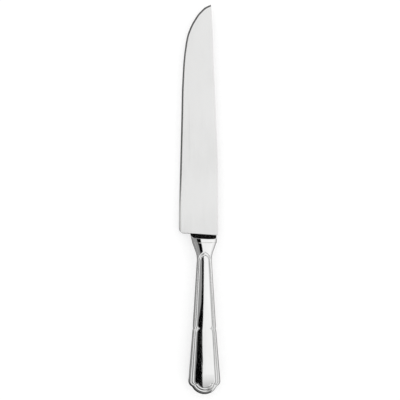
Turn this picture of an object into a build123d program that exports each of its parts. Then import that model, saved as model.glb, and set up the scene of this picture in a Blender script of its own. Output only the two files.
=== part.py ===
from build123d import *
import copy
import math
import os

# Carving knife with a forged blade and a hollow handle, lying on its side.
# While it is modelled, y = 0 is the seam between bolster and handle, the blade points
# along +Y, x = 0 is the middle of the handle with the cutting edge towards -X, and
# z = 0 is the middle of the blade's thickness. place_on_ground() sets it on the ground.
# All sizes are in millimetres.

# Blade
blade_length = 188.9
blade_cutting_side = 21.1
blade_spine_side = 11.1
point_side = 5.4
heel_rise = 1.6
heel_radius = 4.0
spine_corner_radius = 0.8
spine_thickness = 2.4
edge_thickness = 0.9
point_thickness = 1.4
edge_land = 0.05
bevel_width = 1.3
bevel_depth = 0.2
# Back of the blade: shares of its length, and of the way from its side to the point's
spine_shares = [(0.283, 0.035), (0.494, 0.272), (0.759, 0.658), (0.93, 0.85)]
# Cutting edge: shares of the blade's length, and of its cutting side
belly_shares = [
    (0.283, 0.957),
    (0.494, 0.91),
    (0.669, 0.867),
    (0.8, 0.779),
    (0.873, 0.652),
    (0.931, 0.412),
    (0.971, 0.147),
]
straight_share = 0.1
point_slope_share = 0.38
heel_middle_share = 0.345

# Bolster, forged with the blade
bolster_length = 6.6
bolster_cutting_side = 11.6
bolster_spine_side = 10.3
bolster_waist_side = 9.8
bolster_crest_length = 3.0

# Tang, forged with the blade, inside the handle
spigot_length = 3.0
spigot_half_width = 6.4
spigot_thickness = 6.0
spigot_corner_radius = 1.5
tang_length = 64.0
tang_root_width = 8.0
tang_end_width = 5.0
tang_thickness = 3.2

# Outline of the handle: half-widths, and their places measured from the seam
handle_length = 124.5
mouth_half_width = 10.1
flare_half_width = 7.8
flare_length = 6.6
neck_half_width = 6.4
neck_place = 14.8
pinch_half_width = 9.8
pinch_share = 0.5655
pinch_place = pinch_share * handle_length
pinch_reach = 3.0
pinch_depth = 0.45
shoulder_half_width = 13.2
# Round tongue at the end: its radius, and how far past its middle shoulder and notch lie
tongue_share = 0.871
tongue_radius = tongue_share * shoulder_half_width
tongue_place = handle_length - tongue_radius
shoulder_share = 0.017
shoulder_place = tongue_place + shoulder_share * tongue_radius
notch_share = 0.443
notch_place = tongue_place + notch_share * tongue_radius

# Thickness of the handle: heights over the middle plane
mouth_height = 6.0
neck_height = 4.9
pinch_height = 5.8
shoulder_height = 6.5
end_height = 3.0
crown_drop = 1.3
land_share = 0.42
rim_radius = 2.4
side_margin = 0.3
end_round = 3.5
half_share = 0.5

# Stamped half-shells and what joins them
wall = 0.8
seam_thickness = 0.2
ring_thickness = 0.2
filler_gap = 0.05

# Stamped border: two grooves that leave a raised thread between them
groove_width = 0.55
groove_depth = 0.35
outer_neck_inset = 1.7
outer_pinch_inset = 2.1
outer_shoulder_inset = 2.5
outer_pinch_depth = 1.2
outer_tongue_inset = 3.2
outer_notch_inset = 3.6
outer_arch_place = 8.4
inner_neck_inset = 2.9
inner_pinch_inset = 3.45
inner_shoulder_inset = 4.4
inner_pinch_depth = 1.8
inner_tongue_inset = 5.2
inner_notch_inset = 5.2
inner_arch_place = 10.6

# Room that cutting solids and unfinished sections have beyond what they cut
overrun = 2.0


# Plan outlines

def along(start, end, place):
    """Point with y = -place on the line through two points."""
    share = (-place - start[1]) / (end[1] - start[1])
    return (start[0] + share * (end[0] - start[0]), -place)


def direction(start, end):
    return (end[0] - start[0], end[1] - start[1])


def side_places(neck_inset, pinch_inset, shoulder_inset):
    """Neck, pinch and shoulder points of one side, drawn in by the insets."""
    neck = (neck_half_width - neck_inset, -neck_place)
    pinch = (pinch_half_width - pinch_inset, -pinch_place)
    shoulder = (shoulder_half_width - shoulder_inset, -shoulder_place)
    return neck, pinch, shoulder


def side_curve(insets, dip, tongue_inset, notch_inset):
    """One side from the neck to the tongue: taper, drawn-in pinch, taper and shoulder."""
    neck, pinch, shoulder = side_places(*insets)
    before = along(neck, pinch, pinch_place - pinch_reach)
    after = along(pinch, shoulder, pinch_place + pinch_reach)
    cusp = (pinch[0] - dip, pinch[1])
    reach = tongue_radius - tongue_inset
    drop = notch_share * (tongue_radius - notch_inset)
    notch = (math.sqrt(reach**2 - drop**2), -tongue_place - drop)
    below = direction(pinch, shoulder)
    edges = [
        Line(neck, before),
        TangentArc(before, cusp, tangent=direction(neck, pinch)),
        TangentArc(after, cusp, tangent=direction(shoulder, pinch)),
        Line(after, shoulder),
        TangentArc(shoulder, notch, tangent=below),
    ]
    return edges, neck, notch, reach


def tongue_curve(notch, reach):
    """Round end that joins the two sides."""
    bottom = (0, -tongue_place - reach)
    return ThreePointArc(notch, bottom, (-notch[0], notch[1]))


def both_sides(edges):
    """Edges of one side with their mirror images."""
    return edges + [mirror(edge, Plane.YZ) for edge in edges]


def handle_side(inset):
    """Side of the handle with its flare, drawn in evenly."""
    edges, neck, notch, reach = side_curve((inset,) * 3, pinch_depth, inset, inset)
    flare = (flare_half_width - inset, -flare_length)
    mouth = (mouth_half_width - inset, 0)
    taper = direction((pinch_half_width, -pinch_place), (neck_half_width, -neck_place))
    edges += [Line(mouth, flare), TangentArc(neck, flare, tangent=taper)]
    return edges, mouth, notch, reach


def handle_face(inset):
    """Plan of the handle from the seam to its end, drawn in evenly."""
    edges, mouth, notch, reach = handle_side(inset)
    seam = Line(mouth, (-mouth[0], 0))
    return make_face(both_sides(edges) + [tongue_curve(notch, reach), seam])


def mouth_face(inset):
    """Plan of the handle's mouth, carried on a little beyond the seam."""
    side = mouth_half_width - inset
    corners = [(-side, 0), (side, 0), (side, overrun), (-side, overrun)]
    return make_face(Polyline(*corners, close=True))


def bolster_face():
    """Plan of the bolster, which carries the flare of the handle on to the blade."""
    crest = bolster_crest_length
    top = bolster_length + overrun
    return make_face(
        Polyline(
            (-mouth_half_width, 0),
            (mouth_half_width, 0),
            (bolster_spine_side, crest),
            (bolster_waist_side, (crest + bolster_length) / 2),
            (bolster_waist_side, top),
            (-bolster_cutting_side, top),
            (-bolster_cutting_side, bolster_length),
            close=True,
        )
    )


def border_face(insets, dip, tongue_inset, notch_inset, arch_place, grow):
    """Plan inside one line of the border, with its arch at the neck."""
    insets = [inset - grow for inset in insets]
    edges, neck, notch, reach = side_curve(
        insets, dip, tongue_inset - grow, notch_inset - grow
    )
    edges += [TangentArc(neck, (0, grow - arch_place), tangent=(0, 1))]
    return make_face(both_sides(edges) + [tongue_curve(notch, reach)])


# Crowned body of the handle

def between(first, second, share):
    """Station part of the way from one station to the next."""
    return tuple(a + share * (b - a) for a, b in zip(first, second))


def stations():
    """Places along the handle, with the half-width and the height there."""
    mouth = (0, mouth_half_width, mouth_height)
    neck = (neck_place, neck_half_width, neck_height)
    pinch = (pinch_place, pinch_half_width, pinch_height)
    shoulder = (shoulder_place, shoulder_half_width, shoulder_height)
    return [
        (-bolster_length - overrun, bolster_cutting_side, mouth_height),
        mouth,
        (flare_length, flare_half_width, (mouth_height + neck_height) / 2),
        neck,
        between(neck, pinch, half_share),
        pinch,
        between(pinch, shoulder, half_share),
        shoulder,
        (handle_length - end_round, shoulder_half_width, (shoulder_height + end_height) / 2),
        (handle_length + overrun, shoulder_half_width, end_height),
    ]


def crown_section(place, half_width, height, inset, lift):
    """Section across one half of the handle: flat land, falling crown and rounded rims."""
    side = half_width + side_margin - inset
    top = height - inset + lift
    rim = rim_radius - inset
    land = land_share * half_width
    rim_top = top - crown_drop * half_width / shoulder_half_width
    foot = -overrun
    start = (-side, -place, rim_top - rim)
    finish = (side, -place, rim_top - rim)
    walls = Polyline(start, (-side, -place, foot), (side, -place, foot), finish)
    flat = Line((-land, -place, top), (land, -place, top))
    curves = []
    for way in (1, -1):
        rim_end = (way * (side - rim), -place, rim_top)
        curves += [
            TangentArc((way * side, -place, rim_top - rim), rim_end, tangent=(0, 0, 1)),
            TangentArc((way * land, -place, top), rim_end, tangent=(way, 0, 0)),
        ]
    return make_face([*walls.edges(), *curves, flat])


def crown_body(inset, lift):
    """Space under the crowned face of one half, drawn in, lifted or lowered a little."""
    return loft([crown_section(*station, inset, lift) for station in stations()])


def raised(face):
    """Solid on a plan face, higher than the handle."""
    return extrude(face, amount=shoulder_height + overrun, dir=(0, 0, 1))


def half_body(face, inset):
    """Half of a crowned body on a plan face, both drawn in alike."""
    return raised(face) & crown_body(inset, 0)


def border_groove(line):
    """Channel that follows one line of the border and the crown under it."""
    half = groove_width / 2
    channel = raised(border_face(*line, half) - border_face(*line, -half))
    return channel - crown_body(0, -groove_depth)


def border_lines():
    outer = (outer_neck_inset, outer_pinch_inset, outer_shoulder_inset)
    inner = (inner_neck_inset, inner_pinch_inset, inner_shoulder_inset)
    return [
        (outer, outer_pinch_depth, outer_tongue_inset, outer_notch_inset, outer_arch_place),
        (inner, inner_pinch_depth, inner_tongue_inset, inner_notch_inset, inner_arch_place),
    ]


def slab(low, high):
    """Everything between two heights, as a block over the whole knife."""
    width = 2 * (blade_cutting_side + overrun)
    length = 2 * (blade_length + bolster_length + overrun)
    return Pos(0, 0, (low + high) / 2) * Box(width, length, high - low)


def stretch(start, end):
    """Everything between two places along the handle, behind the seam."""
    width = 2 * (shoulder_half_width + overrun)
    height = 2 * (shoulder_height + overrun)
    return Pos(0, -(start + end) / 2, 0) * Box(width, end - start, height)


def doubled(half):
    return half + mirror(half, Plane.XY)


# Blade

def heel_line(side):
    """Place of the heel line at a distance from the middle, spine side positive."""
    share = (blade_spine_side - side) / (blade_spine_side + blade_cutting_side)
    return bolster_length + heel_rise * (share - heel_middle_share)


def edge_start():
    """Place where the straight stretch of the cutting edge ends."""
    return (-blade_cutting_side, bolster_length + straight_share * blade_length)


def blade_point():
    return (point_side, bolster_length + blade_length)


def edge_curve():
    """Cutting edge from its straight stretch to the point."""
    belly = [
        (-side * blade_cutting_side, bolster_length + length * blade_length)
        for length, side in belly_shares
    ]
    ends = ((0, 1), (1, point_slope_share))
    return Spline(edge_start(), *belly, blade_point(), tangents=ends)


def spine_curve(start):
    """Back of the blade from its straight stretch to the point."""
    spine = [
        (
            blade_spine_side + way * (point_side - blade_spine_side),
            bolster_length + length * blade_length,
        )
        for length, way in spine_shares
    ]
    return Spline(start, *spine, blade_point())


def blade_face():
    """Plan of the blade."""
    heel = (-blade_cutting_side, heel_line(-blade_cutting_side))
    back = (blade_spine_side, heel_line(blade_spine_side))
    spine_start = (blade_spine_side, edge_start()[1])
    lines = [Line(edge_start(), heel), Line(heel, back), Line(back, spine_start)]
    face = make_face([*lines, spine_curve(spine_start), edge_curve()])
    corner = face.vertices().sort_by(Axis.X)[0:2].sort_by(Axis.Y)[0]
    face = fillet(corner, heel_radius)
    corner = face.vertices().sort_by(Axis.X)[-2:].sort_by(Axis.Y)[0]
    return fillet(corner, spine_corner_radius)


def edge_side(inset):
    """Plan of all that lies behind the cutting edge, at a distance from it."""
    point = blade_point()
    reach = 2 * blade_cutting_side
    far = (point[0] + reach, point[1] + point_slope_share * reach)
    path = Wire([Line((-blade_cutting_side, 0), edge_start()), edge_curve(), Line(point, far)])
    if inset:
        path = path.offset_2d(inset, side=Side.RIGHT, closed=False)
    start = path.position_at(0)
    end = path.position_at(1)
    corner = (end.X, start.Y)
    return make_face([*path.edges(), Line(end, corner), Line(corner, start)])


def bevel_body():
    """Space between the edge bevel and the middle plane, wider than the blade."""
    height = spine_thickness / 2
    inset = height * bevel_width / bevel_depth
    land = extrude(edge_side(0), amount=edge_land, dir=(0, 0, 1))
    slope = loft(
        [Pos(0, 0, edge_land) * edge_side(0), Pos(0, 0, edge_land + height) * edge_side(inset)],
        ruled=True,
    )
    return land + slope


def flank_plane():
    """Ground side of the blade, which falls evenly to the edge and to the point."""
    to_edge = (spine_thickness - edge_thickness) / 2
    to_point = (spine_thickness - point_thickness) / 2
    across = to_edge / (blade_spine_side + blade_cutting_side)
    start = (blade_spine_side, bolster_length, spine_thickness / 2)
    return Plane(origin=start, z_dir=(-across, to_point / blade_length, 1))


def blade_plate():
    """Flat-ground blade with the bevels of its cutting edge, and its root."""
    half = extrude(blade_face(), amount=spine_thickness, dir=(0, 0, 1))
    half = split(half, bisect_by=flank_plane(), keep=Keep.BOTTOM) & bevel_body()
    root_end = heel_line(0) + overrun
    root = Pos(0, root_end / 2, 0) * Box(2 * spigot_half_width, root_end, edge_thickness)
    return doubled(half) + root


def shoulder_cut():
    """Everything in front of the sloping shoulder of the bolster."""
    low = spine_thickness / 2
    run = (bolster_length - bolster_crest_length) / (mouth_height - low)
    top = 2 * mouth_height
    far = bolster_length + 2 * overrun
    slope = Polyline(
        (0, low * run, 0),
        (0, (low - top) * run, top),
        (0, far, top),
        (0, far, 0),
        close=True,
    )
    block = extrude(make_face(slope), amount=2 * blade_cutting_side, both=True, dir=(1, 0, 0))
    turn = math.degrees(math.atan2(heel_rise, blade_spine_side + blade_cutting_side))
    return Pos(0, bolster_length, 0) * Rot(0, 0, -turn) * block


def spigot():
    """Stub behind the bolster that the handle's mouth is slipped over."""
    section = Rectangle(2 * spigot_half_width, spigot_thickness)
    section = fillet(section.vertices(), spigot_corner_radius)
    return Pos(0, overrun / 2, 0) * extrude(
        Plane.XZ * section, amount=spigot_length + overrun / 2, dir=(0, -1, 0)
    )


def tang():
    """Flat tang that narrows to a round end."""
    root = tang_root_width / 2
    end = tang_end_width / 2
    last = -(tang_length - end)
    sides = Polyline((-end, last), (-root, overrun / 2), (root, overrun / 2), (end, last))
    tip = ThreePointArc((end, last), (0, -tang_length), (-end, last))
    bar = extrude(make_face([*sides.edges(), tip]), amount=tang_thickness / 2, both=True)
    return bar


def place_on_ground(parts):
    """Move the knife so that its origin lies under the middle of it."""
    box = Compound(children=[copy.copy(part) for part in parts.values()]).bounding_box()
    middle = box.center()
    move = Pos(-middle.X, -middle.Y, -box.min.Z)
    return {name: move * part for name, part in parts.items()}


def knife():
    end = handle_length + overrun
    top = shoulder_height + overrun
    outer = half_body(handle_face(0) + bolster_face(), 0)
    for line in border_lines():
        outer -= border_groove(line)
    hollow = half_body(handle_face(wall) + mouth_face(wall), wall)
    case = (outer & stretch(0, end)) - hollow
    shell = case & stretch(ring_thickness, end) & slab(seam_thickness / 2, top)
    mouth = Pos(0, -ring_thickness, 0) * case.faces().sort_by(Axis.Y)[-1]
    ring = doubled(extrude(mouth, amount=ring_thickness, dir=(0, 1, 0)))
    seam = extrude(handle_face(0) - handle_face(wall), amount=seam_thickness / 2, both=True)
    bolster = doubled((outer & stretch(-bolster_length - overrun, 0)) - shoulder_cut())
    inside = spigot() + tang()
    filler_inset = wall + filler_gap
    filler = half_body(handle_face(filler_inset), filler_inset)
    return {
        "blade": blade_plate() + bolster + inside,
        "handle_front_shell": shell,
        "handle_back_shell": mirror(shell, Plane.XY),
        "side_seam_braze": seam & stretch(ring_thickness, end),
        "bolster_braze": ring,
        "tang_cement": doubled(filler) - inside,
    }


os.makedirs("parts", exist_ok=True)
for name, part in place_on_ground(knife()).items():
    print(name, round(part.volume, 2), part.is_valid)
    export_step(part, f"parts/{name}.step")
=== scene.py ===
import math

import bpy
import numpy as np
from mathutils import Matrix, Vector


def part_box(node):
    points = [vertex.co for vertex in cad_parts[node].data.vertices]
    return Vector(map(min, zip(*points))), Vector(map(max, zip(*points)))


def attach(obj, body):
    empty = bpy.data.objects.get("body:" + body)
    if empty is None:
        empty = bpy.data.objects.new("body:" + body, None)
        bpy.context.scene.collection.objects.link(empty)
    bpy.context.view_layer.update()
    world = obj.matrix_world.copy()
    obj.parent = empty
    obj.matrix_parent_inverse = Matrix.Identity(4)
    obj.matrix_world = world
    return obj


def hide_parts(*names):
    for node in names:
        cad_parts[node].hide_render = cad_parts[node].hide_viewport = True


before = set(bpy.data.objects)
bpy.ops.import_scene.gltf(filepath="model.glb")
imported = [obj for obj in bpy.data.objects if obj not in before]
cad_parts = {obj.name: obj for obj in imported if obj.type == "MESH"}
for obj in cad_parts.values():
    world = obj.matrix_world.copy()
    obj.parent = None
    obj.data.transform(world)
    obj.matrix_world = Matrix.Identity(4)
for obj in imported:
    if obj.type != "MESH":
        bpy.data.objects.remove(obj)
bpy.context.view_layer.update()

# Frame of the knife: the middle of its thickness, the seam at the handle's mouth, and the
# handle's middle line. Sizes below are in millimetres in that frame, except in the studio.
MM = 0.001
ring_low, ring_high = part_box("bolster_braze")
blade_low, blade_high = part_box("blade")
shell_low, shell_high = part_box("handle_front_shell")
MIDDLE_X = (ring_low.x + ring_high.x) / 2
SEAM_Y = ring_high.y
MIDDLE_Z = (blade_low.z + blade_high.z) / 2


def place(points):
    """Points in millimetres in the knife's frame, as metres in the row's frame."""
    return np.asarray(points, float) * MM + np.array([MIDDLE_X, SEAM_Y, MIDDLE_Z])


def measured(metres):
    """A size read from the solids, in millimetres and without the rounding of their mesh."""
    return round(metres / MM, 3)


# Materials

# Noise of the polished steel: scale, stretch along x, y and z, and detail
GRAIN_NOISE = (900, (1.0, 0.03, 1.0), 4)
SMUDGE_NOISE = (38, (1.0, 0.7, 1.0), 5)
HAIRLINE_NOISE = (420, (1.0, 0.012, 1.0), 2)
CROSS_NOISE = (300, (0.03, 1.0, 1.0), 2)

# Levels of the noise between which grain, smudges and scratches come in
GRAIN_LEVELS, SMUDGE_LEVELS, TINT_LEVELS = (0.3, 0.7), (0.5, 0.8), (0.45, 0.75)
HAIRLINE_LEVELS, CROSS_LEVELS, CROSS_STRENGTH = (0.68, 0.72), (0.72, 0.75), 0.5
SMUDGE_TINT, GRAIN_HEIGHT = 0.95, 0.6
STEEL_BUMP, STEEL_BUMP_HEIGHT = 0.05, 0.02

# Braze and cement: strength of the bump, detail of the noise, how far the roughness strays
# to each side, and the levels of the two tones
ROUGH_BUMP, ROUGH_DETAIL, ROUGH_SPREAD, TONE_LEVELS = 0.4, 6, 0.2, (0.35, 0.7)


def new_material(name):
    """Node material with its tree and its shader."""
    mat = bpy.data.materials.new(name)
    mat.use_nodes = True
    return mat, mat.node_tree, mat.node_tree.nodes.get("Principled BSDF")


def noise(tree, scale, stretch, detail):
    """Output of a noise texture in the piece's own coordinates."""
    coords = tree.nodes.new("ShaderNodeTexCoord")
    mapping = tree.nodes.new("ShaderNodeMapping")
    mapping.inputs["Scale"].default_value = stretch
    texture = tree.nodes.new("ShaderNodeTexNoise")
    texture.inputs["Scale"].default_value = scale
    texture.inputs["Detail"].default_value = detail
    tree.links.new(coords.outputs["Object"], mapping.inputs["Vector"])
    tree.links.new(mapping.outputs["Vector"], texture.inputs["Vector"])
    return texture.outputs["Fac"]


def ramp(tree, source, low, high, first, second):
    """Output that goes from first to second while its source goes from low to high."""
    node = tree.nodes.new("ShaderNodeMapRange")
    node.inputs["From Min"].default_value = low
    node.inputs["From Max"].default_value = high
    node.inputs["To Min"].default_value = first
    node.inputs["To Max"].default_value = second
    tree.links.new(source, node.inputs["Value"])
    return node.outputs["Result"]


def combined(tree, first, second, operation):
    """Output of a calculation on an output and either another one or a plain number."""
    node = tree.nodes.new("ShaderNodeMath")
    node.operation = operation
    tree.links.new(first, node.inputs[0])
    if isinstance(second, (int, float)):
        node.inputs[1].default_value = second
    else:
        tree.links.new(second, node.inputs[1])
    return node.outputs["Value"]


def bump(tree, shader, height, strength, depth):
    """Unevenness of a surface, its depth in millimetres."""
    node = tree.nodes.new("ShaderNodeBump")
    node.inputs["Strength"].default_value = strength
    node.inputs["Distance"].default_value = depth * MM
    tree.links.new(height, node.inputs["Height"])
    tree.links.new(node.outputs["Normal"], shader.inputs["Normal"])


def steel(name, colour, roughness, grain, scratch, swirl):
    """Polished steel: fine lengthwise grain, hairline scratches and faint smudges."""
    mat, tree, shader = new_material(name)
    lines = noise(tree, *GRAIN_NOISE)
    smudge = noise(tree, *SMUDGE_NOISE)
    hairlines = ramp(tree, noise(tree, *HAIRLINE_NOISE), *HAIRLINE_LEVELS, 0, 1)
    crossing = ramp(tree, noise(tree, *CROSS_NOISE), *CROSS_LEVELS, 0, CROSS_STRENGTH)
    scratches = combined(tree, hairlines, crossing, "MAXIMUM")
    rough = combined(tree, ramp(tree, lines, *GRAIN_LEVELS, roughness - grain, roughness + grain),
                     ramp(tree, smudge, *SMUDGE_LEVELS, 0, swirl), "ADD")
    rough = combined(tree, rough, ramp(tree, scratches, 0, 1, 0, scratch), "ADD")
    tint = tree.nodes.new("ShaderNodeMixRGB")
    tint.inputs["Color1"].default_value = (*colour, 1)
    tint.inputs["Color2"].default_value = (*[c * SMUDGE_TINT for c in colour], 1)
    tree.links.new(ramp(tree, smudge, *TINT_LEVELS, 0, 1), tint.inputs["Fac"])
    tree.links.new(tint.outputs["Color"], shader.inputs["Base Color"])
    tree.links.new(rough, shader.inputs["Roughness"])
    shader.inputs["Metallic"].default_value = 1.0
    height = combined(tree, ramp(tree, lines, 0, 1, 0, GRAIN_HEIGHT), scratches, "ADD")
    bump(tree, shader, height, STEEL_BUMP, STEEL_BUMP_HEIGHT)
    return mat


def rough_solid(name, colour, second, metallic, roughness, scale, height):
    """Braze or cement: two mixed tones, uneven roughness and a grainy surface."""
    mat, tree, shader = new_material(name)
    grain = noise(tree, scale, (1, 1, 1), ROUGH_DETAIL)
    tones = tree.nodes.new("ShaderNodeValToRGB")
    dark, light = tones.color_ramp.elements
    dark.position, light.position = TONE_LEVELS
    dark.color, light.color = (*colour, 1), (*second, 1)
    tree.links.new(grain, tones.inputs["Fac"])
    tree.links.new(tones.outputs["Color"], shader.inputs["Base Color"])
    uneven = ramp(tree, grain, 0, 1, roughness * (1 - ROUGH_SPREAD), roughness * (1 + ROUGH_SPREAD))
    tree.links.new(uneven, shader.inputs["Roughness"])
    shader.inputs["Metallic"].default_value = metallic
    bump(tree, shader, grain, ROUGH_BUMP, height)
    return mat


blade_steel = steel("blade_steel", (0.8, 0.8, 0.795),
                    roughness=0.12, grain=0.025, scratch=0.05, swirl=0.03)
bolster_steel = steel("bolster_steel", (0.86, 0.86, 0.855),
                      roughness=0.06, grain=0.012, scratch=0.04, swirl=0.02)
tang_steel = steel("tang_steel", (0.5, 0.49, 0.47),
                   roughness=0.42, grain=0.1, scratch=0.1, swirl=0.1)
handle_steel = steel("handle_steel", (0.87, 0.87, 0.865),
                     roughness=0.05, grain=0.012, scratch=0.04, swirl=0.02)
braze = rough_solid("braze", (0.6, 0.59, 0.56), (0.68, 0.67, 0.64),
                    metallic=1.0, roughness=0.16, scale=900, height=0.02)
cement = rough_solid("cement", (0.36, 0.34, 0.31), (0.5, 0.48, 0.44),
                     metallic=0.0, roughness=0.9, scale=600, height=0.2)


# Plan curves of the handle, for the side with x above 0

# Turn under which an arc is drawn straight, and length under which a stretch is left out
LEAST_TURN, LEAST_LENGTH = 1e-6, 1e-9


def line(start, end, count):
    """Points of the straight line between two points."""
    share = np.linspace(0, 1, count)[:, None]
    return np.array(start) * (1 - share) + np.array(end) * share


def arc(start, end, heading, count):
    """Points of the arc that leaves start along heading and goes through end."""
    start, end = np.array(start, float), np.array(end, float)
    heading = np.array(heading, float) / np.hypot(*heading)
    normal = np.array([-heading[1], heading[0]])
    chord = end - start
    turn = 2 * math.atan2(chord @ normal, chord @ heading)
    if abs(turn) < LEAST_TURN:
        return line(start, end, count)
    radius = chord @ chord / (2 * (chord @ normal))
    angles = np.linspace(0, turn, count)[:, None]
    return start + radius * (np.sin(angles) * heading + (1 - np.cos(angles)) * normal)


def along(start, end, y):
    """Point at y on the line through two points."""
    share = (y - start[1]) / (end[1] - start[1])
    return (start[0] + share * (end[0] - start[0]), y)


# Corners of the outline, each a half-width and a place along the handle
MOUTH = (measured(ring_high.x - MIDDLE_X), 0.0)
FLARE, NECK = (7.8, -6.6), (6.4, -14.8)
PINCH, SHOULDER = (9.8, -70.4), (13.2, -113.2)
PINCH_REACH, PINCH_DIP = 3.0, 0.45
END = measured(shell_low.y - SEAM_Y)
TONGUE_R = 11.5
TONGUE_Y = END + TONGUE_R
NOTCH_SHARE = 0.443

# Points in each run of these curves
MOUTH_POINTS, FLARE_POINTS, ARCH_POINTS, TAPER_POINTS = 30, 40, 50, 120
PINCH_POINTS, SHOULDER_POINTS, NOTCH_POINTS, TONGUE_POINTS = 30, 100, 40, 60


def side_curve(insets, dip, tongue_inset, notch_inset):
    """Neck to end of the handle: taper, drawn-in pinch, shoulder, notch and tongue. The
    insets at neck, pinch and shoulder draw the curve in from the outline."""
    neck, pinch, shoulder = [(p[0] - i, p[1]) for p, i in zip((NECK, PINCH, SHOULDER), insets)]
    before = along(neck, pinch, pinch[1] + PINCH_REACH)
    after = along(pinch, shoulder, pinch[1] - PINCH_REACH)
    cusp = (pinch[0] - dip, pinch[1])
    reach = TONGUE_R - tongue_inset
    drop = NOTCH_SHARE * (TONGUE_R - notch_inset)
    notch = (math.sqrt(reach**2 - drop**2), TONGUE_Y - drop)
    down = (pinch[0] - neck[0], pinch[1] - neck[1])
    below = (shoulder[0] - pinch[0], shoulder[1] - pinch[1])
    back = (-below[0], -below[1])
    angles = np.linspace(math.atan2(-drop, notch[0]), -math.pi / 2, TONGUE_POINTS)
    tongue = np.stack([reach * np.cos(angles), TONGUE_Y + reach * np.sin(angles)], 1)
    return neck, down, [
        line(neck, before, TAPER_POINTS),
        arc(before, cusp, down, PINCH_POINTS),
        arc(after, cusp, back, PINCH_POINTS)[::-1],
        line(after, shoulder, SHOULDER_POINTS),
        arc(shoulder, notch, below, NOTCH_POINTS),
        tongue,
    ]


def outline():
    """Half of the handle's outline, from the mouth down to the end."""
    neck, down, runs = side_curve((0, 0, 0), PINCH_DIP, 0, 0)
    flare = arc(neck, FLARE, (-down[0], -down[1]), FLARE_POINTS)[::-1]
    return np.concatenate([line(MOUTH, FLARE, MOUTH_POINTS), flare, *runs])


def border(insets, dip, tongue_inset, notch_inset, arch_y):
    """One line of the border with its arch at the neck."""
    neck, _, runs = side_curve(insets, dip, tongue_inset, notch_inset)
    arch = arc(neck, (0, arch_y), (0, 1), ARCH_POINTS)[::-1]
    return np.concatenate([arch, *runs])


OUTLINE = outline()
OUTER_LINE = border(insets=(1.7, 2.1, 2.5), dip=1.2, tongue_inset=3.2, notch_inset=3.6, arch_y=-8.4)
INNER_LINE = border(insets=(2.9, 3.45, 4.4), dip=1.8, tongue_inset=5.2, notch_inset=5.2, arch_y=-10.6)


def distance(points, path):
    """Distance from each point to a path, to the nearest of its stretches."""
    a, b = path[:-1], path[1:]
    keep = np.hypot(*(b - a).T) > LEAST_LENGTH
    a, b = a[keep], b[keep]
    step = b - a
    size = (step**2).sum(1)
    best = np.full(len(points), np.inf)
    batch = 2000
    for i in range(0, len(points), batch):
        p = points[i:i + batch, None, :]
        share = np.clip(((p - a) * step).sum(2) / size, 0, 1)
        gap = p - a - share[..., None] * step
        best[i:i + batch] = np.sqrt((gap**2).sum(2).min(1))
    return best


def smooth_curve(y, stations):
    """Smooth curve through stations, each a place and a value."""
    places, values = np.array(stations, float).T
    slopes = np.gradient(values, places)
    i = np.clip(np.searchsorted(places, y) - 1, 0, len(places) - 2)
    width = places[i + 1] - places[i]
    s = (y - places[i]) / width
    h00, h10 = 2 * s**3 - 3 * s**2 + 1, s**3 - 2 * s**2 + s
    h01, h11 = -2 * s**3 + 3 * s**2, s**3 - s**2
    return (h00 * values[i] + h10 * width * slopes[i]
            + h01 * values[i + 1] + h11 * width * slopes[i + 1])


def softened(depth, radius):
    """Fall of a surface near an edge that is rounded over."""
    share = np.clip(1 - depth / radius, 0, 1)
    return radius * (1 - np.sqrt(1 - share**2))


# Meshes

def spread(*spans):
    """Places in a row of spans, each from a start to an end in a number of steps."""
    return np.concatenate([np.linspace(*span) for span in spans])


def grid_faces(count, across):
    """Numbers of a grid's points, and its faces."""
    index = np.arange(count * across).reshape(count, across)
    corners = index[:-1, :-1], index[:-1, 1:], index[1:, 1:], index[1:, :-1]
    return index, np.stack([corner.ravel() for corner in corners], 1)


def mesh_object(name, verts, faces):
    """Smooth-shaded object from points in metres and faces."""
    mesh = bpy.data.meshes.new(name)
    mesh.from_pydata([tuple(v) for v in verts], [], [tuple(int(i) for i in f) for f in faces])
    mesh.update()
    for polygon in mesh.polygons:
        polygon.use_smooth = True
    obj = bpy.data.objects.new(name, mesh)
    bpy.context.scene.collection.objects.link(obj)
    return obj


# Form of one half of the handle

# Radius that the outline is rounded over by, thickness of the sheet, and the height that
# keeps the crown inside the solid
RIM, SHEET = 2.2, 0.8
TOP_LIMIT = (shell_high.z - MIDDLE_Z) / MM - 0.005

# Height of the crown's middle along the handle
TOP_HEIGHTS = [
    (-127, 2.8),
    (END, 3.65),
    (-121, 4.75),
    (-117, 5.8),
    (SHOULDER[1], 6.5),
    (-109, 6.86),
    (-105, 6.9),
    (-100, 6.7),
    (-91.8, 6.2),
    (-80, 5.88),
    (PINCH[1], 5.8),
    (-56, 5.66),
    (-42.6, 5.35),
    (-30, 4.97),
    (-20, 4.8),
    (NECK[1], 4.9),
    (FLARE[1], 5.45),
    (MOUTH[1], 5.98),
    (4, 6.15),
]

# Crown across the handle: a place, and shares of the half-width. It is level up to the
# first share and has its near and far slopes, in degrees, at the other two. So it is broad
# above the border's arch, close to a ridge at the neck, and broad again towards the
# shoulders.
CROWN_SHARES = [
    (-115, 0, 0.12, 0.72),
    (-109, 0, 0.12, 0.71),
    (-97, 0, 0.1, 0.61),
    (-85, 0.05, 0.14, 0.62),
    (-72, 0.07, 0.15, 0.69),
    (-62, 0.04, 0.1, 0.52),
    (-56, 0.03, 0.1, 0.41),
    (-48, 0, 0.08, 0.31),
    (-35, 0, 0.07, 0.28),
    (-16, 0, 0.06, 0.31),
    (-11, 0.02, 0.1, 0.36),
    (-8, 0.08, 0.16, 0.46),
    (-5, 0.1, 0.18, 0.49),
    (-2, 0.12, 0.22, 0.53),
    (2, 0.2, 0.31, 0.68),
]
EASING_REACH, EASING_STEPS, CROWN_STEPS = 1.5, 9, 241
NEAR_SLOPE, FAR_SLOPE, BORDER_SLOPE, LAST_SLOPE = 2.7, 6.2, 15, 24
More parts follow.
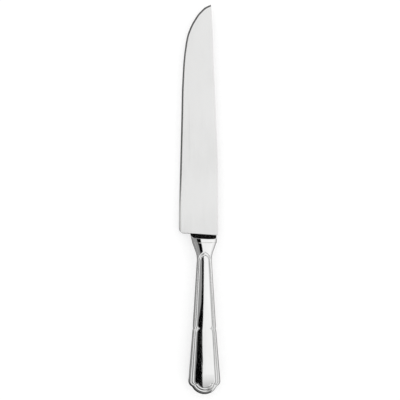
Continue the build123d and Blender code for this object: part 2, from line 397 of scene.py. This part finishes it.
BORDER_SHARE, LEAST_BORDER_STEP, LAST_SHARE = 0.82, 0.15, 1.2

# Border: depth and width of its grooves, and the thread's height, width and reach
OUTER_GROOVE = (0.42, 0.42)
INNER_GROOVE = (0.25, 0.36)
THREAD, THREAD_REACH = (0.1, 0.7), 2.2


def crown_shares(y):
    """Shares of the crown's slopes at y, their corners eased over a reach on each side."""
    places, *columns = np.array(CROWN_SHARES, float).T
    steps = np.linspace(-EASING_REACH, EASING_REACH, EASING_STEPS)
    return [np.mean([np.interp(y + step, places, column) for step in steps], 0) for column in columns]


def crown(x, y, edge):
    """Height of the polished surface without its border, edge away from the outline."""
    corners = np.array([MOUTH, NECK, SHOULDER])
    span = np.interp(-y, -corners[:, 1], corners[:, 0])
    flat, near, far = crown_shares(y[:, 0])
    slopes = [0, 0, NEAR_SLOPE, FAR_SLOPE, BORDER_SLOPE, LAST_SLOPE]
    grid = np.linspace(0, LAST_SHARE, CROWN_STEPS)
    fall = np.zeros_like(x)
    for row in range(len(x)):
        border_share = max(BORDER_SHARE, far[row] + LEAST_BORDER_STEP)
        shares = [0, flat[row], near[row], far[row], border_share, LAST_SHARE]
        tilt = np.tan(np.radians(np.interp(grid, shares, slopes)))
        drop = np.concatenate([[0], np.cumsum((tilt[1:] + tilt[:-1]) / 2 * np.diff(grid))])
        fall[row] = span[row] * np.interp(x[row] / span[row], grid, drop)
    return smooth_curve(y, TOP_HEIGHTS) - fall - softened(edge, RIM)


def ridge(gap, height, width):
    """Height of a soft ridge at a gap from its middle."""
    return height * np.exp(-(gap / width) ** 2)


def relief(points):
    """Depth of the two border grooves and the swell of the thread between them."""
    outer = distance(points, OUTER_LINE)
    inner = distance(points, INNER_LINE)
    groove = ridge(outer, *OUTER_GROOVE) + ridge(inner, *INNER_GROOVE)
    thread = ridge(outer - inner, *THREAD) * np.clip(THREAD_REACH - (outer + inner), 0, 1)
    return thread - groove


# Rows and columns of the half-shell's mesh: the rows are closer together where the outline
# turns, and the columns within the border's band
ROW_STARTS = [measured(ring_low.y - SEAM_Y), -66.5, -74.5, -108, -118.5]
ROW_STEPS = [0.28, 0.16, 0.28, 0.15]
END_ROWS, END_GAP = 46, 0.07
RIM_COLUMNS, BAND_COLUMNS, MIDDLE_COLUMNS = 16, 36, 30
RIM_SHARE, BAND, BAND_SHARE = 0.45, 5.4, 0.4
SKIRT_SHARES, SEAM_HEIGHT = (0.12, 0.5, 1.0), 0.1


def row_places():
    """Places of the rows, closing up at the round end."""
    rows = [np.arange(a, b, -step) for a, b, step in zip(ROW_STARTS, ROW_STARTS[1:], ROW_STEPS)]
    end = END + END_GAP
    angles = np.linspace(0, math.pi / 2, END_ROWS)
    return np.concatenate([*rows, end + (ROW_STARTS[-1] - end) * (1 - np.sin(angles))])


def half_columns(rows):
    """Places across each row, from the outline in to the middle line."""
    order = np.argsort(-OUTLINE[:, 1], kind="stable")
    widths = np.interp(-rows, -OUTLINE[order, 1], OUTLINE[order, 0])
    angles = np.linspace(0, math.pi / 2, RIM_COLUMNS)[:-1]
    columns = []
    for width in widths:
        rim = min(RIM, RIM_SHARE * width)
        inner = max(width - BAND, BAND_SHARE * width)
        columns.append(np.concatenate([
            width - rim * (1 - np.cos(angles)),
            np.linspace(width - rim, inner, BAND_COLUMNS)[:-1],
            np.linspace(inner, 0, MIDDLE_COLUMNS),
        ]))
    return np.array(columns)


def skirted(top, index, surface):
    """Points and faces of the outer surface with its skirt, which goes down to the seam
    along the outline and leaves the mouth open."""
    rings = [np.concatenate([index[:, 0], index[-1, 1:-1], index[::-1, -1]])]
    points, faces = [top], [surface]
    for number, share in enumerate(SKIRT_SHARES):
        skirt = top[rings[0]].copy()
        skirt[:, 2] = skirt[:, 2] + share * (SEAM_HEIGHT - skirt[:, 2])
        points.append(skirt)
        rings.append(len(top) + np.arange(len(skirt)) + number * len(skirt))
    for upper, lower in zip(rings, rings[1:]):
        faces.append(np.stack([upper[:-1], upper[1:], lower[1:], lower[:-1]], 1))
    return np.concatenate(points), np.concatenate(faces)


def half_shell(name, way):
    """One stamped half-shell, way = 1 above and -1 below the middle plane."""
    rows = row_places()
    half = half_columns(rows)
    half_y = np.repeat(rows[:, None], half.shape[1], 1)
    flat = np.stack([half.ravel(), half_y.ravel()], 1)
    edge = distance(flat, OUTLINE).reshape(half.shape)
    edge[:, 0] = 0
    height = crown(half, half_y, edge) + relief(flat).reshape(half.shape)
    height = np.minimum(height, TOP_LIMIT)
    x = np.concatenate([half, -half[:, -2::-1]], 1)
    z = np.concatenate([height, height[:, -2::-1]], 1)
    y = np.repeat(rows[:, None], x.shape[1], 1)
    top = np.stack([x, y, z], 2).reshape(-1, 3)
    verts, quads = skirted(top, *grid_faces(*x.shape))
    verts[:, 2] *= way
    obj = mesh_object(name, place(verts), quads[:, ::way])
    solid = obj.modifiers.new("wall", "SOLIDIFY")
    solid.thickness = SHEET * MM
    solid.offset = -1
    return obj


# Blade, bolster and tang: surfaces above the middle plane, mirrored below it

# Plan of the blade: the cutting edge and the back, each a place and a distance from x = 0
BOLSTER_LENGTH, HEEL_SLOPE = 6.6, 0.0497
BLADE_END = measured(blade_high.y - SEAM_Y)
BLADE_LENGTH = BLADE_END - BOLSTER_LENGTH
EDGE_GAP = 0.05
CUTTING_SIDE = measured(MIDDLE_X - blade_low.x) - EDGE_GAP
SPINE_SIDE, POINT_X = 11.1, 5.4
BLADE_WIDTH = CUTTING_SIDE + EDGE_GAP + SPINE_SIDE
EDGE_POINTS = [
    (BOLSTER_LENGTH, -CUTTING_SIDE),
    (25.5, -CUTTING_SIDE),
    (60.1, -20.2),
    (99.9, -19.2),
    (133, -18.3),
    (157.7, -16.4),
    (171.5, -13.76),
    (182.5, -8.7),
    (190, -3.1),
    (193.6, 1.2),
    (BLADE_END, POINT_X),
]
SPINE_POINTS = [
    (BOLSTER_LENGTH, SPINE_SIDE),
    (25.5, SPINE_SIDE),
    (60.1, 10.9),
    (99.9, 9.55),
    (150, 7.35),
    (182.3, 6.25),
    (BLADE_END, POINT_X),
]
HEEL_RADIUS, SPINE_CORNER, SPINE_ROUND, HEEL_ROUND = 4.0, 0.8, 0.22, 0.45

# Half-thicknesses at the back, behind the edge's bevel and at the point, how they fall off
# across and along the blade, and the bevel
HALF_SPINE, HALF_EDGE, HALF_POINT = 1.2, 0.45, 0.7
FALL_ACROSS = (HALF_SPINE - HALF_EDGE) / BLADE_WIDTH
FALL_ALONG = (HALF_SPINE - HALF_POINT) / BLADE_LENGTH
BEVEL_WIDTH, BEVEL_LAND, LEAST_HALF = 1.35, 0.05, 0.04
BEVEL_LINE = (0.01, 0.12)

# Mesh of the blade: rows round the heel, along the plate and round the tip, and columns
# from the cutting edge to the back, closer together at both
HEEL_FADE, TIP_LENGTH, TIP_GAP = 30, 38.9, 0.04
HEEL_ROWS, PLATE_START, PLATE_ROWS = 16, 4.6, 200
TIP_ROWS, TIP_START_SHARE, TIP_POWER = 90, 0.02, 1.5
BLADE_COLUMNS = (0, 0.16, 22), (0.19, 0.97, 26), (0.974, 1, 10)
EDGE_STEPS, EDGE_LEAD, LEAD_STEPS = 900, 30, 60


def two_sided(name, x, y, z):
    """Closed piece from the grid of its upper side and the mirror image of it."""
    index, upper = grid_faces(*x.shape)
    low = index.size
    loop = np.concatenate([index[0, :], index[1:, -1], index[-1, -2::-1], index[-2:0:-1, 0]])
    following = np.roll(loop, -1)
    wall = np.stack([loop, loop + low, following + low, following], 1)
    verts = np.concatenate([np.stack([x, y, way * z], 2).reshape(-1, 3) for way in (1, -1)])
    return mesh_object(name, place(verts), np.concatenate([upper, upper[:, ::-1] + low, wall]))


def corner_inset(past, radius):
    """How far a round corner draws a side in, at a place past its start."""
    return radius - np.sqrt(np.clip(radius**2 - np.clip(radius - past, 0, radius) ** 2, 0, None))


def edge_path():
    """Cutting edge as a path that starts well before the heel."""
    y = np.linspace(BOLSTER_LENGTH, BLADE_END, EDGE_STEPS)
    path = np.stack([smooth_curve(y, EDGE_POINTS), y], 1)
    before = BOLSTER_LENGTH + np.linspace(-EDGE_LEAD, 0, LEAD_STEPS)
    return np.concatenate([np.stack([np.full(LEAD_STEPS, -CUTTING_SIDE), before], 1), path[1:]])


def blade_piece():
    """Flat-ground plate with edge bevels, round heel and a softened back."""
    tip_start = BLADE_LENGTH - TIP_LENGTH
    near = HEEL_RADIUS * (1 - np.cos(np.linspace(0, math.pi / 2, HEEL_ROWS)))
    mid = np.linspace(PLATE_START, tip_start, PLATE_ROWS)
    tip = BLADE_LENGTH - TIP_LENGTH * (1 - np.linspace(TIP_START_SHARE, 1, TIP_ROWS)) ** TIP_POWER
    past = np.concatenate([near, mid, tip[:-1], [BLADE_LENGTH - TIP_GAP]])
    edge = smooth_curve(past + BOLSTER_LENGTH, EDGE_POINTS) + corner_inset(past, HEEL_RADIUS)
    spine = smooth_curve(past + BOLSTER_LENGTH, SPINE_POINTS) - corner_inset(past, SPINE_CORNER)
    x = edge[:, None] + (spine - edge)[:, None] * spread(*BLADE_COLUMNS)[None, :]
    heel = -HEEL_SLOPE * x * np.clip(1 - past / HEEL_FADE, 0, 1)[:, None]
    from_heel = np.repeat(past[:, None], x.shape[1], 1)
    y = from_heel + BOLSTER_LENGTH + heel
    flank = HALF_SPINE - FALL_ACROSS * (SPINE_SIDE - x) - FALL_ALONG * (y - BOLSTER_LENGTH)
    from_edge = distance(np.stack([x.ravel(), y.ravel()], 1), edge_path()).reshape(x.shape)
    bevel = BEVEL_LAND + (flank - BEVEL_LAND) * from_edge / BEVEL_WIDTH
    z = np.minimum(flank, bevel) - ridge(from_edge - BEVEL_WIDTH, *BEVEL_LINE)
    z = z - softened(spine[:, None] - x, SPINE_ROUND) - softened(from_heel, HEEL_ROUND)
    return two_sided("blade_plate", x, y, np.maximum(z, LEAST_HALF))


# Half-widths of the bolster along it, on the side of the blade's back and on the edge's
BOLSTER_SPINE_SIDE = [(0, MOUTH[0]), (0.6, 10.31), (3.0, 10.3), (4.8, 9.8), (9, 9.8)]
BOLSTER_CUTTING_SIDE = [(0, MOUTH[0]), (BOLSTER_LENGTH, 11.6), (9, 11.6)]
SHOULDER_RUN, LEAST_BOLSTER = 0.75, 0.2
BOLSTER_ROWS = (0, 2.6, 16), (2.75, 4.6, 30), (4.7, 8, 24)
BOLSTER_COLUMNS = 70


def bolster_piece():
    """Bolster that carries the handle's crown on to a sloping shoulder."""
    rows = spread(*BOLSTER_ROWS)
    right = np.interp(rows, *np.transpose(BOLSTER_SPINE_SIDE))
    left = np.interp(rows, *np.transpose(BOLSTER_CUTTING_SIDE))
    angles = np.linspace(0, math.pi / 2, RIM_COLUMNS)[:-1]
    rim = RIM * (1 - np.cos(angles))
    x = np.array([np.concatenate([a - rim, np.linspace(a - RIM, RIM - b, BOLSTER_COLUMNS), (rim - b)[::-1]])
                  for a, b in zip(right, left)])
    y = np.repeat(rows[:, None], x.shape[1], 1)
    edge = np.minimum(right[:, None] - x, x + left[:, None])
    shoulder = HALF_SPINE + (BOLSTER_LENGTH - HEEL_SLOPE * x - y) / SHOULDER_RUN
    z = np.maximum(np.minimum(crown(np.abs(x), y, edge), shoulder), LEAST_BOLSTER)
    return two_sided("bolster", x[:, ::-1], y, z[:, ::-1])


# Spigot behind the bolster, and tang: lengths, half-widths, half-thicknesses and rounded
# edges
SPIGOT_START, SPIGOT_LENGTH, SPIGOT_HALF, SPIGOT_HEIGHT, SPIGOT_ROUND = 0.5, 3.0, 6.4, 3.0, 1.4
TANG_STRAIGHT, TANG_ROOT_HALF, TANG_END_HALF, TANG_HEIGHT, TANG_ROUND = 61.5, 4.0, 2.5, 1.6, 0.5
STEP_GAP, TANG_START = 0.02, -3.4
SPIGOT_ROWS, TANG_ROWS = 12, 60
TANG_END_ANGLES = (0.05, math.pi / 2 - 0.02, 16)
TANG_COLUMNS = (-1, -0.8, 8), (-0.6, 0.6, 7), (0.8, 1, 8)


def tang_piece():
    """Spigot behind the bolster and the tapering tang with its round end."""
    rows = np.concatenate([
        np.linspace(SPIGOT_START, STEP_GAP - SPIGOT_LENGTH, SPIGOT_ROWS),
        [-SPIGOT_LENGTH, -SPIGOT_LENGTH - STEP_GAP],
        np.linspace(TANG_START, -TANG_STRAIGHT, TANG_ROWS),
        -TANG_STRAIGHT - TANG_END_HALF * np.sin(np.linspace(*TANG_END_ANGLES)),
    ])
    narrowing = TANG_ROOT_HALF - TANG_END_HALF
    taper = TANG_ROOT_HALF - narrowing * np.clip(-rows / TANG_STRAIGHT, 0, 1)
    past = np.clip(-TANG_STRAIGHT - rows, 0, TANG_END_HALF)
    taper = taper - (TANG_END_HALF - np.sqrt(TANG_END_HALF**2 - past**2))
    spigot = rows > -SPIGOT_LENGTH - STEP_GAP / 2
    half = np.where(spigot, SPIGOT_HALF, taper)[:, None]
    height = np.where(spigot, SPIGOT_HEIGHT, TANG_HEIGHT)[:, None]
    soft = np.where(spigot, SPIGOT_ROUND, TANG_ROUND)[:, None]
    x = -half * spread(*TANG_COLUMNS)[None, :]
    y = np.repeat(rows[:, None], x.shape[1], 1)
    z = height - softened((half - np.abs(x)) / soft, 1) * soft
    return two_sided("tang", x, y, z)


# Pieces that replace the solids, and solids that keep their mesh

for side, way in (("front", 1), ("back", -1)):
    shell = half_shell(f"{side}_half_shell", way)
    shell.data.materials.append(handle_steel)
    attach(shell, "root")
    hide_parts(f"handle_{side}_shell")

forging = [blade_piece(), bolster_piece(), tang_piece()]
for piece, material in zip(forging, (blade_steel, bolster_steel, tang_steel)):
    piece.data.materials.append(material)
    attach(piece, "root")
    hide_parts("blade")

finishes = {
    "side_seam_braze": braze,
    "bolster_braze": braze,
    "tang_cement": cement,
}
for node, material in finishes.items():
    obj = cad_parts[node]
    obj.data.materials.clear()
    obj.data.materials.append(material)


# Floor, cards and camera, in metres

FLOOR_SIZE, FLOOR_GREY, FLOOR_GLOW = 8, 0.6, 0.46

# Cards overhead: the height that they hang at, and the places along the knife where one
# gives way to the next
CARD_HEIGHT = 0.5
BELOW, ABOVE = CARD_HEIGHT - 0.005, CARD_HEIGHT + 0.01
NEAR_Y, END_Y, HANDLE_Y, HEEL_Y, FAR_Y = -0.7, -0.2, -0.042, 0.012, 0.85


def left_of_top(angle):
    """X of a card overhead where it is met at an angle to the left of straight up."""
    return MIDDLE_X - CARD_HEIGHT * math.tan(math.radians(angle))


STRIP_X, SIDE_X, OUTER_X = left_of_top(5.3), left_of_top(12.2), left_of_top(55.5)
EDGE_X, HEEL_X, BLADE_X = left_of_top(9), left_of_top(14), left_of_top(50)
WALL_PLACE, WALL_TOP = 1.5, 1.2
WALL_GROWTH = {"second": 1.0, "axis": 2}

# Each card: name, two opposite corners, brightness, and how it grows or when it is met
CARDS = [
    ("strip_card", (SIDE_X, NEAR_Y, CARD_HEIGHT), (STRIP_X, HANDLE_Y, CARD_HEIGHT), 0.0, {}),
    ("side_card", (OUTER_X, END_Y, CARD_HEIGHT), (SIDE_X, HANDLE_Y, CARD_HEIGHT), 0.32, {}),
    ("side_low_card", (OUTER_X, NEAR_Y, CARD_HEIGHT), (SIDE_X, END_Y, CARD_HEIGHT), 0.42, {}),
    ("edge_card", (BLADE_X, HEEL_Y, CARD_HEIGHT), (EDGE_X, FAR_Y, CARD_HEIGHT), 0.14, {}),
    ("heel_card", (BLADE_X, HANDLE_Y, CARD_HEIGHT), (HEEL_X, HEEL_Y, CARD_HEIGHT), 0.62, {}),
    ("end_soft_card", (STRIP_X, -0.55, BELOW), (0.14, END_Y, BELOW), 0.45, {"second": 1.0, "axis": 1}),
    ("sky_card", (STRIP_X, -0.8, ABOVE), (0.2, 0.28, ABOVE), 0.98, {"second": 1.12, "axis": 0}),
    ("far_card", (-1.2, 1.2, 0), (1.2, 1.2, 1.2), 0.0, {"depth": 1.5}),
    ("end_card", (-0.07, -0.19, 0.001), (0.025, -0.19, 0.045), 0.0, {"second": 0.2, "axis": 0}),
    ("left_card", (-0.75, -0.6, 0), (-0.75, -0.02, 0.62), 0.3, {}),
    ("right_card", (0.75, -0.6, 0), (0.75, -0.02, 0.4), 0.75, {}),
    ("far_wall", (-WALL_PLACE, WALL_PLACE, 0), (WALL_PLACE, WALL_PLACE, WALL_TOP), 0.6, WALL_GROWTH),
    ("near_wall", (-WALL_PLACE, -WALL_PLACE, 0), (WALL_PLACE, -WALL_PLACE, WALL_TOP), 0.6, WALL_GROWTH),
    ("left_wall", (-WALL_PLACE, -WALL_PLACE, 0), (-WALL_PLACE, WALL_PLACE, WALL_TOP), 0.6, WALL_GROWTH),
    ("right_wall", (WALL_PLACE, -WALL_PLACE, 0), (WALL_PLACE, WALL_PLACE, WALL_TOP), 0.6, WALL_GROWTH),
    ("left_floor_card", (-0.25, -0.35, 0.0005), (-0.006, -0.02, 0.0005), 0.25, {}),
    ("right_floor_card", (0.03, -0.35, 0.0005), (0.25, -0.02, 0.0005), 0.2, {}),
    ("end_floor_card", (-0.1, -0.4, 0.0006), (0.02, -0.161, 0.0006), 0.02, {}),
    ("notch_floor_card", (-0.1, -0.161, 0.0006), (-0.007, -0.148, 0.0006), 0.02, {}),
]


def card(name, low, high, level, second=None, axis=0, depth=None):
    """Studio card between two corners that only reflections see. One of its three sizes is
    0. With a second level it grows from one to the other along an axis. With a depth it is
    only there for reflections of reflections."""
    low, high = Vector(low), Vector(high)
    size = high - low
    flat = min(range(3), key=lambda number: size[number])
    first, other = [number for number in range(3) if number != flat]
    corners = []
    for share, side in ((0, 0), (1, 0), (1, 1), (0, 1)):
        point = low.copy()
        point[first] += share * size[first]
        point[other] += side * size[other]
        corners.append(point)
    obj = mesh_object(name, corners, [(0, 1, 2, 3)])
    mat, tree, _ = new_material(name)
    nodes, links = tree.nodes, tree.links
    nodes.clear()
    out = nodes.new("ShaderNodeOutputMaterial")
    glow = nodes.new("ShaderNodeEmission")
    glow.inputs["Strength"].default_value = level
    if second is not None:
        coords = nodes.new("ShaderNodeTexCoord")
        split = nodes.new("ShaderNodeSeparateXYZ")
        links.new(coords.outputs["Object"], split.inputs["Vector"])
        grown = ramp(tree, split.outputs[axis], low[axis], high[axis], level, second)
        links.new(grown, glow.inputs["Strength"])
    links.new(glow.outputs["Emission"], out.inputs["Surface"])
    if depth is not None:
        path = nodes.new("ShaderNodeLightPath")
        late = combined(tree, path.outputs["Glossy Depth"], depth, "GREATER_THAN")
        clear = nodes.new("ShaderNodeBsdfTransparent")
        mix = nodes.new("ShaderNodeMixShader")
        links.new(late, mix.inputs["Fac"])
        links.new(clear.outputs["BSDF"], mix.inputs[1])
        links.new(glow.outputs["Emission"], mix.inputs[2])
        links.new(mix.outputs["Shader"], out.inputs["Surface"])
    obj.data.materials.append(mat)
    obj.visible_camera = False
    obj.visible_diffuse = False
    obj.visible_shadow = False


def floor():
    """White floor that glows only for the camera and for reflections."""
    bpy.ops.mesh.primitive_plane_add(size=FLOOR_SIZE, location=(0, 0, 0))
    obj = bpy.context.active_object
    obj.name = "floor"
    mat, tree, shader = new_material("floor_white")
    shader.inputs["Base Color"].default_value = (FLOOR_GREY, FLOOR_GREY, FLOOR_GREY, 1)
    shader.inputs["Roughness"].default_value = 0.9
    shader.inputs["Specular IOR Level"].default_value = 0.0
    path = tree.nodes.new("ShaderNodeLightPath")
    seen = path.outputs["Is Camera Ray"]
    for ray in ("Is Glossy Ray", "Is Transmission Ray"):
        seen = combined(tree, seen, path.outputs[ray], "MAXIMUM")
    glow = tree.nodes.new("ShaderNodeEmission")
    tree.links.new(combined(tree, seen, FLOOR_GLOW, "MULTIPLY"), glow.inputs["Strength"])
    both = tree.nodes.new("ShaderNodeAddShader")
    tree.links.new(shader.outputs["BSDF"], both.inputs[0])
    tree.links.new(glow.outputs["Emission"], both.inputs[1])
    tree.links.new(both.outputs["Shader"], tree.nodes["Material Output"].inputs["Surface"])
    obj.data.materials.append(mat)


def studio():
    """White world, and the cards that give the steel its bright and dark bands."""
    world = bpy.data.worlds.new("studio")
    bpy.context.scene.world = world
    world.use_nodes = True
    world.node_tree.nodes["Background"].inputs["Color"].default_value = (1, 1, 1, 1)
    world.node_tree.nodes["Background"].inputs["Strength"].default_value = 1.0
    for name, low, high, level, options in CARDS:
        card(name, low, high, level, **options)


# Camera straight above: what its picture is wide at the knife, and the middle of the picture
LENS, SENSOR = 200, 36
PICTURE_WIDTH, PICTURE_MIDDLE = 0.3287, (0.00024, -0.00057)


def camera():
    """Camera that looks straight down."""
    data = bpy.data.cameras.new("camera")
    data.lens = LENS
    data.sensor_width = SENSOR
    data.clip_end = 10
    obj = bpy.data.objects.new("camera", data)
    obj.location = (*PICTURE_MIDDLE, PICTURE_WIDTH * LENS / SENSOR + MIDDLE_Z)
    bpy.context.scene.collection.objects.link(obj)
    bpy.context.scene.camera = obj


floor()
studio()
camera()
bpy.context.scene.view_settings.view_transform = "Standard"
